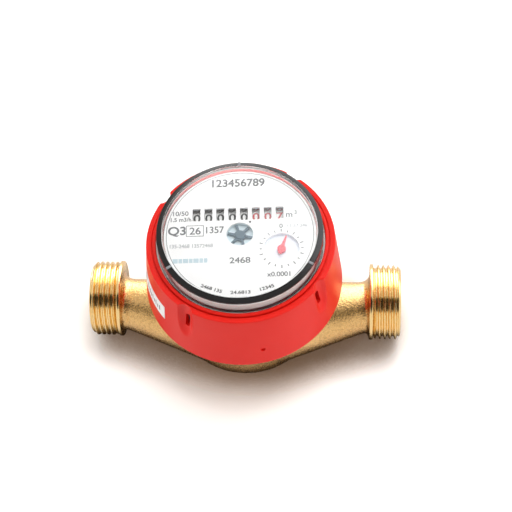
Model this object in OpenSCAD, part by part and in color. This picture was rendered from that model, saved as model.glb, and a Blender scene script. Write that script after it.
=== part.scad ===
// Single-jet dry-dial water meter: brass body with threaded pipe ends, impeller,
// red retaining ring, and a register with gear train and number rollers under a clear lens.
// Millimetres. The origin is the middle of the base, +X runs along the flow and +Z up.

/* [Brass body] */
// Length over the two pipe ends
body_l = 110; // [104:1:130]
// Height of the pipe axis above the base
axis_h = 17; // [16:0.5:20]
// Outside diameter of the pipe threads
thread_d = 26.44; // [25.5:0.01:26.9]
// Pitch of the pipe threads
thread_pitch = 1.814; // [1.6:0.001:2.2]
// Depth of the pipe threads
thread_depth = 1.16; // [0.8:0.01:1.3]
// Included angle of the thread
thread_angle = 55; // [50:1:60]
// Length of each threaded end
thread_l = 9.7; // [8:0.1:12]
// Diameter of the cast collar behind each thread
collar_d = 27; // [26.9:0.1:30]
// Thickness of the collar
collar_t = 1.3; // [1:0.1:3]
// Outside diameter of each branch at its collar
branch_d = 17.2; // [16.8:0.1:19]
// Shift of each branch towards the jet side at its collar
branch_shift = 1.7; // [1:0.1:2.4]
// Turn of each branch towards the jet side
branch_turn = 12; // [10:0.5:13]
// Taper of each branch, per side
branch_taper = 10.2; // [8:0.1:11]
// Fillet between a branch and its collar
branch_fillet = 3; // [1:0.5:3.5]
// Bore of the pipe ends
bore_d = 15; // [14.5:0.5:16]
// Depth of the straight bore in each pipe end
bore_depth = 9; // [8:0.5:10]
// Bore of the two jet passages
jet_d = 12; // [9:0.5:12.5]
// Outside diameter of the bowl
bowl_d = 52; // [51:0.2:56]
// Rounding of the bowl's lower edge
bowl_round = 13.5; // [10:0.5:14]
// Diameter of the impeller chamber
chamber_d = 41; // [39:0.5:42]
// Thickness of the bowl's floor
floor_t = 6; // [5:0.5:7]
// Height of the plate seat above the pipe axis
seat_rise = 11; // [10:0.5:13]
// Height of the flange's straight wall below the plate seat
flange_drop = 1; // [0.5:0.5:3]
// Height of the cone below the flange
flange_cone = 6; // [4:0.5:8]

/* [Pressure plate] */
// Diameter of the recess that holds the plate and the clamp ring
recess_d = 51; // [50:0.5:53]
// Thickness of the pressure plate
plate_t = 3; // [2.8:0.1:5]
// Wall left between the two magnets
diaphragm_t = 0.8; // [0.6:0.1:1]
// Section of the plate seal
seal_d = 1.7; // [1.4:0.1:2]
// Height of the clamp ring
clamp_t = 4; // [3:0.5:6]
// Inside diameter of the clamp ring
clamp_bore = 30; // [28:0.5:34]
// Outside diameter of the magnetic shield
shield_d = 23.6; // [23:0.2:25]
// Wall of the magnetic shield
shield_t = 1.5; // [1:0.1:1.6]
// Height of the magnetic shield
shield_h = 4.6; // [3.5:0.1:5]

/* [Impeller] */
// Outside diameter of the impeller
impeller_d = 37; // [32:0.5:37.5]
// Height of the impeller's hub
impeller_h = 14; // [12:0.5:15]
// Number of blades
blades = 8; // [6:1:10]
// Thickness of a blade
blade_t = 1.2; // [0.8:0.1:1.6]
// Diameter of the hub
hub_d = 9; // [8:0.5:11]
// Diameter of the magnet cup on the hub
cup_d = 16; // [15.5:0.5:18]
// Outside diameter of both magnets
magnet_d = 13.6; // [12:0.2:14]
// Bore of the impeller's magnet
magnet_bore = 6; // [5.6:0.2:7]
// Height of both magnets
magnet_h = 3.3; // [2.5:0.1:3.5]
// Diameter of the impeller's pivots
pivot_d = 1.5; // [1.2:0.1:1.8]

/* [Retaining ring] */
// Diameter of the ring at its lower edge
ring_base_d = 68.8; // [67:0.2:72]
// Wall of the ring at its lower edge
ring_base_wall = 3.2; // [2.8:0.1:3.6]
// Wall of the ring at its shoulder
ring_top_wall = 2.3; // [2:0.1:3.2]
// Overlap of the ring over the body's flange
ring_skirt = 3.2; // [2:0.1:6]
// Height of the shoulder below the dial's face
shoulder_drop = 3.2; // [2.8:0.1:4]
// Rise of the inner lip above the shoulder
lip_rise = 0.7; // [0.3:0.1:1]
// Width of the inner lip
lip_w = 1.1; // [0.9:0.1:1.3]
// Sideways turn of the ring on the body
ring_turn = -33.5; // [-45:0.5:45]
// Number of sealing pockets
pockets = 4; // [2:1:6]
// Radius of a pocket
pocket_r = 4; // [3:0.2:5]
// Height of a pocket
pocket_h = 15; // [10:0.5:18]
// Wall left behind a pocket
pocket_wall = 0.8; // [0.6:0.1:1]
// Width of the seal wire's slot
slot_w = 1.2; // [0.8:0.1:2]
// Height of the seal wire's slot
slot_h = 3.6; // [2:0.2:6]

/* [Label] */
// Height of the label
label_h = 7; // [5:0.5:10]
// Sweep of the label round the ring
label_sweep = 31; // [20:1:40]
// Direction of the label's first edge
label_dir = -168; // [-175:1:-150]
// Height of the label's lower edge above the ring's lower edge
label_rise = 10.5; // [4:0.5:14]
// Thickness of the label
label_t = 0.15; // [0.1:0.05:0.3]

/* [Register] */
// Turn of the dial on the body
dial_turn = 3; // [-180:1:180]
// Height of the dial's face above the body's rim
dial_rise = 25; // [24.5:0.5:30]
// Thickness of the dial
dial_t = 0.8; // [0.6:0.1:1]
// Inside diameter of the case
case_bore = 51.4; // [51:0.1:52]
// Wall of the case
case_t = 1.5; // [1:0.1:1.8]
// Wall of the case's collar that carries the dial
collar_wall = 0.8; // [0.6:0.1:1.2]
// Width of the lens's flange
lens_flange_w = 1.4; // [1.2:0.1:1.8]
// Height of the case's flange
case_flange_h = 1.8; // [1.4:0.1:3]
// Height of the lens's flange
lens_flange_h = 1.3; // [1:0.1:1.6]
// Height of the joint between case and lens below the dial's face
joint_drop = 5; // [4.6:0.1:5.4]
// Outside diameter of the lens
lens_d = 56; // [55.6:0.1:56.6]
// Rise of the lens above the dial's face
lens_rise = 3.5; // [3.2:0.1:5]
// Wall of the lens
lens_wall = 2.1; // [1.8:0.1:2.2]
// Thickness of the lens over the dial
lens_t = 2.2; // [1.6:0.1:2.4]
// Width of the bezel ring
bezel_w = 1.8; // [1.4:0.1:2]
// Drop of the bezel ring's top below the lens's top
bezel_drop = 0.4; // [0:0.1:0.6]
// Height of the bezel ring at its inner edge
bezel_h = 1.1; // [1:0.1:1.2]
// Height of the bezel ring at its outer edge
bezel_edge_h = 0.7; // [0.6:0.1:0.9]
// Width of a lens lug
lug_w = 1.8; // [1:0.1:3]
// Height of a lens lug
lug_h = 0.6; // [0.4:0.1:0.7]
// Section of the lens seal
lens_seal_d = 1; // [0.8:0.1:1.2]

/* [Counter] */
// Diameter of a number roller
roller_d = 13; // [12.6:0.1:13.2]
// Width of a number roller
roller_w = 2.7; // [2.4:0.1:2.8]
// Spacing of the rollers
roller_pitch = 4; // [4:0.05:4.1]
// Middle of the roller row, sideways on the dial
row_x = -0.6; // [-1:0.1:0]
// Middle of the roller row, up the dial
row_y = 8.05; // [7.9:0.05:8.3]
// Depth of the rollers below the dial's face
roller_drop = 2.2; // [2:0.1:3]
// Width of a window in the dial
window_w = 2.7; // [2.2:0.1:3.2]
// Height of a window in the dial
window_h = 4.9; // [4:0.1:5.2]
// Direction of the carry pinions, seen along the rollers
pinion_dir = -40; // [-50:1:-30]
// Diameter of the roller shaft
roller_shaft_d = 1.8; // [1.4:0.1:2.2]
// Diameter of the carry pinion shaft
pinion_shaft_d = 1; // [0.8:0.1:1.2]

/* [Gear train] */
// Module of all gears
gear_m = 0.5; // [0.49:0.005:0.505]
// Thickness of the flat wheels
wheel_t = 1.5; // [1:0.1:1.6]
// Diameter of the arbors
arbor_d = 1.6; // [1.4:0.1:2]
// Direction from the spindle to the first wheel
first_dir = 224; // [220:1:228]
// Direction from the first wheel to the second wheel
second_dir = -10.8; // [-14:0.2:-8]
// Direction from the second wheel to the pointer's wheel
pointer_dir = 23.3; // [21:0.1:25]
// Radius of the star well in the dial
star_r = 4.5; // [4:0.1:4.6]
// Radius of the pointer well in the dial
well_r = 6; // [5:0.1:6.4]
// Depth of the pointer well
well_depth = 1.3; // [0.8:0.1:1.5]
// Direction of the pointer on the dial
pointer_angle = 71; // [0:1:360]

/* [Hidden] */
$fn = 72;
eps = 0.01;
running_gap = 0.05;
seat_gap = 0.3;
turn_gap = 0.2;

// Heights of the housing
seat_z = axis_h + seat_rise;
clamp_z = seat_z + plate_t;
rim_z = clamp_z + clamp_t;
ring_z = rim_z - ring_skirt;
dial_z = rim_z + dial_rise;
shoulder_z = dial_z - shoulder_drop;
lip_z = shoulder_z + lip_rise;
joint_z = dial_z - joint_drop;
lens_top = dial_z + lens_rise;
case_z = rim_z + turn_gap;
floor_z = case_z + case_t;

// Diameters of the register, from the lens outwards and inwards
case_flange_w = 1;
dial_inset = 0.2;
register_d = max(lens_d + 2 * lens_flange_w, case_bore + 2 * (case_t + case_flange_w));
lens_wall_bore = lens_d - 2 * lens_wall;
collar_outer_d = lens_wall_bore - 2 * seat_gap;
dial_d = collar_outer_d - 2 * dial_inset;
bezel_bore = lens_d - 2 * bezel_w;
seal_groove_d = (collar_outer_d + register_d) / 2;

// Diameters of the retaining ring and the flange under it
skirt_gap = 0.2;
lip_t = 0.9;
groove_depth = 0.6;
groove_w = 0.5;
slot_drop = 8;
ring_bore = register_d + 2 * seat_gap;
lip_bore = lens_d + 4 * seat_gap;
lip_d = lip_bore + 2 * (lip_w + groove_w);
ring_top_d = ring_bore + 2 * ring_top_wall;
flange_d = ring_base_d - 2 * (ring_base_wall + skirt_gap);
function ring_r(z) = ring_base_d / 2 + (ring_top_d - ring_base_d) / 2 * (z - ring_z) / (shoulder_z - ring_z);

// Brass body
branch_overlap = 17;
bore_end = body_l / 2 - bore_depth;
thread_end = body_l / 2 - thread_l;
collar_end = thread_end - collar_t;
branch_reach = bowl_d / 2 - branch_overlap;
branch_l = (collar_end - branch_reach) / cos(branch_turn);
jet_lead = bore_end + 1 - collar_end;
jet_l = (bore_end + 1 - chamber_d / 4) / cos(branch_turn);
thread_flank = thread_depth * tan(thread_angle / 2);
thread_flat = (thread_pitch - 2 * thread_flank) / 2;
thread_turns = floor((thread_l - 0.4) / thread_pitch);

// Wet side
pin_d = 2.4;
pin_depth = 3;
impeller_z = axis_h - impeller_h / 2;
impeller_top = impeller_z + impeller_h;
jewel_h = 2.5;
jewel_hole_h = 1.8;
magnet_top = seat_z - 1.2;
magnet_z = magnet_top - magnet_h;
plate_gap = 0.3;
bush_d = 3.2;
boss_d = 5.2;
boss_h = 1.4;
bush_top = seat_z + 0.6;
shield_floor = bush_top + diaphragm_t;
groove_play = 0.25;
seal_ring_d = (chamber_d + recess_d) / 2;

// Register case
well_bore = magnet_d + 2.4;
well_wall = 1.2;
well_floor = shield_floor + seat_gap;
well_floor_t = 1;
driven_z = well_floor + well_floor_t + 0.4;
post_d = 3;
POSTS = [[-21.5, -1.5], [-1.5, -22.8], [16.8, -17.2]];

// Levels of the gear train
level_gap = 0.9;
level_a = floor_z + 2.8;
level_b = level_a + wheel_t + level_gap;
level_c = level_b + wheel_t + level_gap;
train_z = level_c + wheel_t + level_gap;
train_t = 1;
train_r = case_bore / 2 - 0.6;
boss_rise = 1;
pivot_w = 1;
pivot_skin = 0.4;
shoulder_gap = 0.2;
pivot_z = case_z + pivot_skin + 0.1;
arbor_low = floor_z + boss_rise + shoulder_gap;

// Teeth
pressure_angle = 25;
addendum = 0.8;
dedendum = 1.1;
tooth_play = 0.09;
spindle_teeth = 10;
first_teeth = 40;
small_teeth = 12;
second_teeth = 36;
worm_wheel_teeth = 10;
roller_teeth = 20;
carry_teeth = 8;

// Places of the arbors on the dial
function gear_reach(a, b) = gear_m * (a + b) / 2;
function step_to(p, dir, d) = [p[0] + d * cos(dir), p[1] + d * sin(dir)];
FIRST = step_to([0, 0], first_dir, gear_reach(spindle_teeth, first_teeth));
SECOND = step_to(FIRST, second_dir, gear_reach(small_teeth, second_teeth));
POINTER = step_to(SECOND, pointer_dir, gear_reach(small_teeth, second_teeth));

// Phases that keep each pair of wheels in mesh
function mesh_phase(phase, a, b, dir) = dir + 180 + 180 / b - a / b * (phase - dir);
first_phase = mesh_phase(0, spindle_teeth, first_teeth, first_dir);
second_phase = mesh_phase(0, small_teeth, second_teeth, second_dir);
pointer_phase = mesh_phase(0, small_teeth, second_teeth, pointer_dir);

// Counter
rollers = 8;
roller_z = dial_z - roller_drop - roller_d / 2;
side_w = 0.5;
side_gap = 0.1;
lock_r = gear_m * roller_teeth / 2 + 0.3;
carry_reach = gear_reach(roller_teeth, carry_teeth);
CARRY = [row_y + carry_reach * cos(pinion_dir), roller_z + carry_reach * sin(pinion_dir)];
roller_phase = pinion_dir + 180 / roller_teeth;
carry_phase = pinion_dir + 180;
lock_turn = 90;
cross_y = row_y - gear_reach(roller_teeth, roller_teeth);
cross_gear_reach = 2.4;
cross_gear_x = POINTER[0] + cross_gear_reach;
cross_gear_w = 1;
plate_clear = 0.4;
wheel_clear = 0.6;
cross_d = 1.2;
worm_wheel_w = 1.2;
ear_reach = 3.4;
ear_x = POINTER[0] - ear_reach;
ear_w = 1.2;
bracket_t = 1.2;
bracket_left = roller_x(1) - roller_w / 2 - side_w - plate_clear / 2;
bracket_right = cross_gear_x + cross_gear_w + plate_clear;
bracket_start = bracket_left - bracket_t;
bracket_span = bracket_right + bracket_t - bracket_start;
bracket_front = 5;
bracket_back = 13;
function roller_x(k) = row_x + (k - (rollers + 1) / 2) * roller_pitch;

// Worm
worm_r = POINTER[1] < cross_y ? cross_y - POINTER[1] - gear_m * worm_wheel_teeth / 2 : 1;
worm_lead = PI * gear_m;
worm_tip = worm_r + 0.7 * gear_m;
worm_root = worm_r - 0.9 * gear_m;
worm_turns = 3;
worm_h = worm_turns * worm_lead;
worm_crest = 60;
worm_flank = 80;

// Star and pointer
star_floor_t = 0.4;
star_depth = 1.7;
star_floor = dial_z - star_depth;
arbor_play = 0.4;
star_t = 0.6;
star_z = star_floor + seat_gap;
star_top = star_z + star_t;
star_arm_w = 0.9;
star_hub_r = 2;
star_tip_r = star_r - 0.25;
star_phase = -13;
star_arms = 6;
well_wall_t = 0.5;
pointer_hub_r = 1.4;
pointer_hub_h = 1.1;
pointer_t = 0.5;
pointer_l = 5.2;
pointer_tail = 2;
pointer_z = dial_z - well_depth + seat_gap;

ROLLERS = [for (k = [1:rollers]) str("roller_", k)];
PINIONS = [for (k = [1:rollers - 1]) str("transfer_pinion_", k)];

// Shared shapes

// A tube standing on z
module tube(d, bore, h, z = 0) {
    translate([0, 0, z]) difference() {
        cylinder(d = d, h = h);
        translate([0, 0, -1]) cylinder(d = bore, h = h + 2);
    }
}

// The same thing at both pipe ends
module both_ends() {
    children();
    mirror([1, 0, 0]) children();
}

// Puts a part of the register at the dial's turn
module on_dial() {
    rotate([0, 0, dial_turn]) children();
}

// Lays an outline in the dial's upright plane and extrudes it along the rollers
module across(x, y, z, w) {
    translate([x, y, z]) rotate([90, 0, 90]) linear_extrude(w) children();
}

// Involute gear outline with play and a first tooth at the given phase
function involute(a) = tan(a) * 180 / PI - a;
function flank_turn(r, rb) = r <= rb ? 0 : involute(acos(rb / r));
function polar(r, a) = [r * cos(a), r * sin(a)];
function gear_outline(teeth, phase, pick) =
    let (rp = gear_m * teeth / 2,
         rb = rp * cos(pressure_angle),
         tip = rp + addendum * gear_m,
         root = rp - dedendum * gear_m,
         half = 90 / teeth - tooth_play / rp * 90 / PI + involute(pressure_angle),
         radii = rb > root + 0.02 ? [root, rb, rp, (rp + tip) / 2, tip] : [root, rp, (rp + tip) / 2, tip],
         last = len(radii) - 1)
    [for (i = [0:pick:teeth - 1]) each concat(
        [for (r = radii) polar(r, phase + i * 360 / teeth - half + flank_turn(r, rb))],
        [for (j = [last:-1:0]) polar(radii[j], phase + i * 360 / teeth + half - flank_turn(radii[j], rb))])];

module gear_flat(teeth, phase = 0, pick = 1) {
    polygon(gear_outline(teeth, phase, pick));
}

// An arbor with a thin pivot at each end, thick between its two shoulders
module arbor(from, to, low, high) {
    translate([0, 0, from]) cylinder(d = pivot_w, h = to - from);
    translate([0, 0, low]) cylinder(d = arbor_d, h = high - low);
}

// Brass housing

module bowl_outline() {
    r = bowl_d / 2;
    translate([0, bowl_round]) square([r, seat_z - bowl_round]);
    square([r - bowl_round, bowl_round + eps]);
    intersection() {
        translate([r - bowl_round, bowl_round]) circle(r = bowl_round);
        square(r);
    }
}

module flange_outline() {
    straight_z = seat_z - flange_drop;
    polygon([[0, straight_z - flange_cone], [bowl_d / 2, straight_z - flange_cone],
        [flange_d / 2, straight_z], [flange_d / 2, rim_z], [0, rim_z]]);
}

// Thread ridges as a revolved outline, from the pipe end inwards
module thread() {
    crest = thread_d / 2;
    root = crest - thread_depth;
    ridges = [for (i = [0:thread_turns - 1]) each [
        [root, i * thread_pitch + thread_flat / 2],
        [crest, i * thread_pitch + thread_flat / 2 + thread_flank],
        [crest, i * thread_pitch + thread_flat * 1.5 + thread_flank],
        [root, i * thread_pitch + thread_flat * 1.5 + 2 * thread_flank]]];
    rotate_extrude() polygon(concat([[0, 0], [root, 0]], ridges, [[root, thread_l], [0, thread_l]]));
}

module fillet_outline() {
    r = branch_d / 2;
    difference() {
        square([r + branch_fillet, branch_fillet]);
        translate([r + branch_fillet, branch_fillet]) circle(r = branch_fillet);
    }
}

// Runs a shape inwards from the collar along the branch's own axis
module along_branch(back = 0) {
    translate([collar_end, -branch_shift, axis_h])
        rotate([0, 0, branch_turn]) translate([back, 0, 0]) rotate([0, -90, 0]) children();
}

module pipe_end() {
    translate([body_l / 2, 0, axis_h]) rotate([0, -90, 0]) thread();
    translate([collar_end, 0, axis_h]) rotate([0, 90, 0]) cylinder(d = collar_d, h = collar_t);
    translate([collar_end + eps, -branch_shift, axis_h]) rotate([0, -90, 0]) rotate_extrude() fillet_outline();
    along_branch() cylinder(d1 = branch_d, d2 = branch_d + 2 * branch_l * tan(branch_taper), h = branch_l);
}

module pipe_hollow() {
    translate([bore_end, 0, axis_h]) rotate([0, 90, 0]) cylinder(d = bore_d, h = bore_depth + 1);
    along_branch(jet_lead) cylinder(d = jet_d, h = jet_l);
}

module body() {
    color("goldenrod") difference() {
        union() {
            rotate_extrude() bowl_outline();
            rotate_extrude() flange_outline();
            both_ends() pipe_end();
        }
        both_ends() pipe_hollow();
        translate([0, 0, floor_t]) cylinder(d = chamber_d, h = rim_z);
        translate([0, 0, seat_z]) cylinder(d = recess_d, h = rim_z);
        translate([0, 0, floor_t - pin_depth]) cylinder(d = pin_d, h = pin_depth + 1);
    }
}

module inlet_strainer() {
    d = bore_d - 2 * running_gap;
    t = 1.2;
    rim = 1.2;
    skirt = 2;
    hole = 1.6;
    spacing = 2.2;
    reach = d / 2 - rim - hole / 4;
    color("white") translate([-bore_end, 0, axis_h]) rotate([0, -90, 0]) {
        tube(d, d - 2 * rim, skirt);
        difference() {
            cylinder(d = d, h = t);
            for (row = [-2:2], n = [-2:2]) {
                p = [spacing * (n + row / 2), spacing * row * sin(60)];
                if (norm(p) < reach)
                    translate([p[0], p[1], -1]) cylinder(d = hole, h = t + 2);
            }
        }
    }
}

module lower_pivot_pin() {
    shoulder = impeller_z - seat_gap;
    tip = impeller_z + jewel_hole_h - seat_gap;
    color("silver") {
        translate([0, 0, floor_t - pin_depth]) cylinder(d = pin_d, h = shoulder - floor_t + pin_depth);
        translate([0, 0, shoulder - eps]) cylinder(d = pivot_d, h = tip - shoulder + eps);
    }
}

module plate_seal() {
    color("black") translate([0, 0, seat_z + seal_d / 2]) rotate_extrude()
        translate([seal_ring_d / 2, 0]) circle(d = seal_d);
}

module pressure_plate() {
    color("dimgray") difference() {
        union() {
            translate([0, 0, seat_z]) cylinder(d = recess_d - 2 * plate_gap, h = plate_t);
            translate([0, 0, seat_z - boss_h]) cylinder(d = boss_d, h = boss_h + eps);
        }
        translate([0, 0, shield_floor]) cylinder(d = shield_d + 0.1, h = plate_t);
        translate([0, 0, seat_z - boss_h - 1]) cylinder(d = bush_d, h = boss_h + 1 + bush_top - seat_z);
        tube(seal_ring_d + seal_d + 2 * groove_play, seal_ring_d - seal_d - 2 * groove_play, seal_d + 1, seat_z - 1);
    }
}

module upper_pivot_bush() {
    color("goldenrod") difference() {
        translate([0, 0, seat_z - boss_h]) cylinder(d = bush_d, h = boss_h + bush_top - seat_z);
        translate([0, 0, seat_z - boss_h - 1])
            cylinder(d = pivot_d + 2 * running_gap, h = boss_h + 1 + bush_top - seat_z - 0.2);
    }
}

module clamp_ring() {
    slots = 4;
    slot = 4;
    slot_depth = 1.5;
    color("goldenrod") difference() {
        tube(recess_d - plate_gap, clamp_bore, clamp_t, clamp_z);
        for (i = [0:slots - 1]) rotate([0, 0, 45 + i * 360 / slots])
            translate([0, -slot / 2, rim_z - slot_depth]) cube([clamp_bore / 2 + 3, slot, clamp_t]);
    }
}

module shield_ring() {
    color("slategray") tube(shield_d, shield_d - 2 * shield_t, shield_h, shield_floor);
}

module ring_outline() {
    top = lip_z - lip_t;
    polygon([[flange_d / 2 + skirt_gap, ring_z], [ring_base_d / 2, ring_z], [ring_top_d / 2, shoulder_z],
        [lip_d / 2, shoulder_z], [lip_d / 2, shoulder_z - groove_depth],
        [lip_d / 2 - groove_w, shoulder_z - groove_depth], [lip_d / 2 - groove_w, lip_z],
        [lip_bore / 2, lip_z], [lip_bore / 2, top], [ring_bore / 2, top],
        [ring_bore / 2, rim_z], [flange_d / 2 + skirt_gap, rim_z]]);
}

// A leaning round cutter that fades out down the wall, and the slot for the seal wire
module pocket() {
    depth_r = ring_bore / 2 + pocket_wall;
    fade_r = ring_r(shoulder_z - pocket_h);
    lean = atan((fade_r - depth_r) / pocket_h);
    translate([depth_r + pocket_r, 0, shoulder_z + 1]) rotate([0, 180 - lean, 0])
        cylinder(r = pocket_r, h = pocket_h * 1.3);
    translate([ring_bore / 2 - 1, -slot_w / 2, shoulder_z - slot_drop - slot_h / 2])
        cube([5, slot_w, slot_h]);
}

module retaining_ring() {
    color("red") difference() {
        rotate_extrude($fn = 120) ring_outline();
        for (i = [0:pockets - 1]) rotate([0, 0, ring_turn + i * 360 / pockets]) pocket();
    }
}

module side_label() {
    low = ring_z + label_rise;
    high = low + label_h;
    color("white") rotate([0, 0, label_dir]) rotate_extrude(angle = label_sweep, $fn = 120)
        polygon([[ring_r(low), low], [ring_r(low) + label_t, low],
            [ring_r(high) + label_t, high], [ring_r(high), high]]);
}

// Impeller

module impeller() {
    cup_z = magnet_z - 1.2;
    blade_inset = 1;
    color("white") difference() {
        union() {
            translate([0, 0, impeller_z]) cylinder(d = hub_d, h = impeller_h);
            for (i = [0:blades - 1]) rotate([0, 0, i * 360 / blades])
                translate([0, -blade_t / 2, impeller_z + blade_inset])
                    cube([impeller_d / 2, blade_t, impeller_h - 2 * blade_inset]);
            translate([0, 0, cup_z]) cylinder(d = cup_d, h = magnet_top - cup_z);
        }
        translate([0, 0, magnet_z]) cylinder(d = magnet_d, h = magnet_h + 1);
        translate([0, 0, impeller_z - 1]) cylinder(d = 2 * pin_d, h = jewel_h + 1);
        translate([0, 0, magnet_z - 4]) cylinder(d = pivot_d, h = 5);
    }
}

module pivot_jewel() {
    color("crimson") difference() {
        translate([0, 0, impeller_z]) cylinder(d = 2 * pin_d, h = jewel_h);
        translate([0, 0, impeller_z - 1]) cylinder(d = pivot_d + 2 * running_gap, h = jewel_hole_h + 1);
    }
}

module impeller_magnet() {
    color("dimgray") tube(magnet_d, magnet_bore, magnet_h, magnet_z);
}

module upper_pivot_pin() {
    color("silver") translate([0, 0, magnet_z - 4])
        cylinder(d = pivot_d, h = bush_top - 0.5 - magnet_z + 4);
}

// Register

module case_outline() {
    wall = case_bore / 2;
    well = well_bore / 2;
    collar = collar_outer_d / 2;
    polygon([[0, well_floor], [well + well_wall, well_floor], [well + well_wall, case_z],
        [wall + case_t, case_z], [wall + case_t, joint_z - case_flange_h],
        [register_d / 2, joint_z - case_flange_h], [register_d / 2, joint_z],
        [collar, joint_z], [collar, dial_z - dial_t], [collar - collar_wall, dial_z - dial_t],
        [collar - collar_wall, joint_z - case_flange_h], [wall, joint_z - case_flange_h - 1.6],
        [wall, floor_z], [well, floor_z], [well, well_floor + well_floor_t], [0, well_floor + well_floor_t]]);
}

module pivot_boss(p) {
    translate([p[0], p[1], floor_z - eps]) cylinder(d = 3 * pivot_w, h = boss_rise);
}

module pivot_hole(p, z, h) {
    translate([p[0], p[1], z]) cylinder(d = pivot_w + 2 * running_gap, h = h);
}

module register_case() {
    color("whitesmoke") on_dial() difference() {
        union() {
            rotate_extrude($fn = 120) case_outline();
            for (p = POSTS) translate([p[0], p[1], floor_z - eps]) cylinder(d = post_d, h = train_z - floor_z + eps);
            for (p = [FIRST, SECOND, POINTER]) pivot_boss(p);
        }
        for (p = [FIRST, SECOND, POINTER]) pivot_hole(p, case_z + pivot_skin, case_t + boss_rise);
        pivot_hole([0, 0], well_floor + pivot_skin, well_floor_t);
        tube(seal_groove_d + lens_seal_d + groove_play, seal_groove_d - lens_seal_d - groove_play,
            lens_seal_d + 1, joint_z - lens_seal_d);
    }
}

module train_plate() {
    ear_r = 1.4;
    front = row_y - roller_d / 2 - wheel_clear;
    slot_front = cross_y - gear_m * (roller_teeth / 2 + 1) - wheel_clear;
    color("lightsteelblue") on_dial() difference() {
        union() {
            intersection() {
                translate([0, 0, train_z]) cylinder(r = train_r, h = train_t);
                translate([-train_r, -train_r, train_z]) cube([2 * train_r, train_r + front, train_t]);
            }
            translate([ear_x, cross_y - ear_r, train_z + train_t - eps])
                cube([ear_w, 2 * ear_r, roller_z - train_z - train_t]);
            across(ear_x, cross_y, roller_z, ear_w) circle(r = ear_r);
        }
        translate([cross_gear_x - wheel_clear, slot_front, train_z - 1]) cube([train_r, train_r, train_t + 2]);
        for (p = [FIRST, SECOND]) pivot_hole(p, train_z - 1, train_t + 2);
        for (p = [[0, 0], POINTER]) translate([p[0], p[1], train_z - 1])
            cylinder(d = arbor_d + 2 * running_gap, h = train_t + 2);
        across(ear_x - 1, cross_y, roller_z, ear_w + 2) circle(d = cross_d + 2 * running_gap);
    }
}

module side_plate(x, arm) {
    top = roller_z + 2.2;
    arm_y = cross_y - 2;
    post = [[bracket_front, floor_z], [bracket_back, floor_z], [CARRY[0] + 1.4, CARRY[1] - 1.6],
        [CARRY[0] + 1.4, CARRY[1] + 1.4], [row_y + 2.4, top]];
    low = arm ? [[arm_y, top], [arm_y, roller_z - 1.8], [bracket_front, roller_z - 3]]
              : [[row_y - 2.4, top], [bracket_front, roller_z - 3]];
    across(x, 0, 0, bracket_t) polygon(concat(post, low));
}

module roller_bracket() {
    color("lightgray") on_dial() difference() {
        union() {
            side_plate(bracket_start, false);
            side_plate(bracket_right, true);
            translate([bracket_left - eps, bracket_front, floor_z])
                cube([bracket_right - bracket_left + 2 * eps, bracket_back - bracket_front, 1.4]);
        }
        across(bracket_start - 1, row_y, roller_z, bracket_span + 2) circle(d = roller_shaft_d);
        across(bracket_start - 1, CARRY[0], CARRY[1], bracket_span + 2) circle(d = pinion_shaft_d);
        across(bracket_right - 1, cross_y, roller_z, bracket_t + 2) circle(d = cross_d + 2 * running_gap);
    }
}

module shaft_between(y, z, d) {
    color("silver") on_dial() across(bracket_start, y, z, bracket_span) circle(d = d);
}

module roller_shaft() {
    shaft_between(row_y, roller_z, roller_shaft_d);
}

module pinion_shaft() {
    shaft_between(CARRY[0], CARRY[1], pinion_shaft_d);
}

// A round well sunk in the dial: its outer cup, or its hollow
module dial_well(p, r, floor_top, cup) {
    if (cup) translate([p[0], p[1], floor_top - star_floor_t])
        cylinder(r = r + well_wall_t, h = dial_z - floor_top + star_floor_t - dial_t / 2);
    else translate([p[0], p[1], floor_top]) cylinder(r = r, h = dial_z);
}

module dial_plate() {
    hole_d = arbor_d + arbor_play;
    color("white") on_dial() difference() {
        union() {
            translate([0, 0, dial_z - dial_t]) cylinder(d = dial_d, h = dial_t, $fn = 120);
            dial_well([0, 0], star_r, star_floor, true);
            dial_well(POINTER, well_r, dial_z - well_depth, true);
        }
        dial_well([0, 0], star_r, star_floor, false);
        dial_well(POINTER, well_r, dial_z - well_depth, false);
        for (p = [[0, 0], POINTER]) translate([p[0], p[1], dial_z - 5]) cylinder(d = hole_d, h = 10);
        for (k = [1:rollers]) translate([roller_x(k) - window_w / 2, row_y - window_h / 2, dial_z - dial_t - 1])
            cube([window_w, window_h, dial_t + 2]);
    }
}

// The three lugs that reach from the lens's crown over the bezel ring
module lug_bars(w, h, z) {
    for (i = [0:2]) rotate([0, 0, 90 + i * 120])
        translate([bezel_bore / 2 - 1, -w / 2, z]) cube([bezel_w + 2, w, h]);
}

module lens() {
    shelf = lens_top - bezel_drop - bezel_h;
    color("lightcyan", 0.4) on_dial() difference() {
        union() {
            translate([0, 0, joint_z]) cylinder(d = register_d, h = lens_flange_h, $fn = 120);
            translate([0, 0, joint_z]) cylinder(d = lens_d, h = shelf - joint_z, $fn = 120);
            translate([0, 0, joint_z]) cylinder(d = bezel_bore, h = lens_top - joint_z, $fn = 120);
            intersection() {
                lug_bars(lug_w, lug_h, shelf + bezel_h - lug_h);
                translate([0, 0, shelf]) cylinder(d = lens_d, h = bezel_h + 1, $fn = 120);
            }
        }
        translate([0, 0, joint_z - 1]) cylinder(d = lens_wall_bore, h = lens_top - lens_t - joint_z + 1, $fn = 120);
    }
}

module lens_seal() {
    color("black") translate([0, 0, joint_z - lens_seal_d / 2]) rotate_extrude()
        translate([seal_groove_d / 2, 0]) circle(d = lens_seal_d);
}

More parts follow.
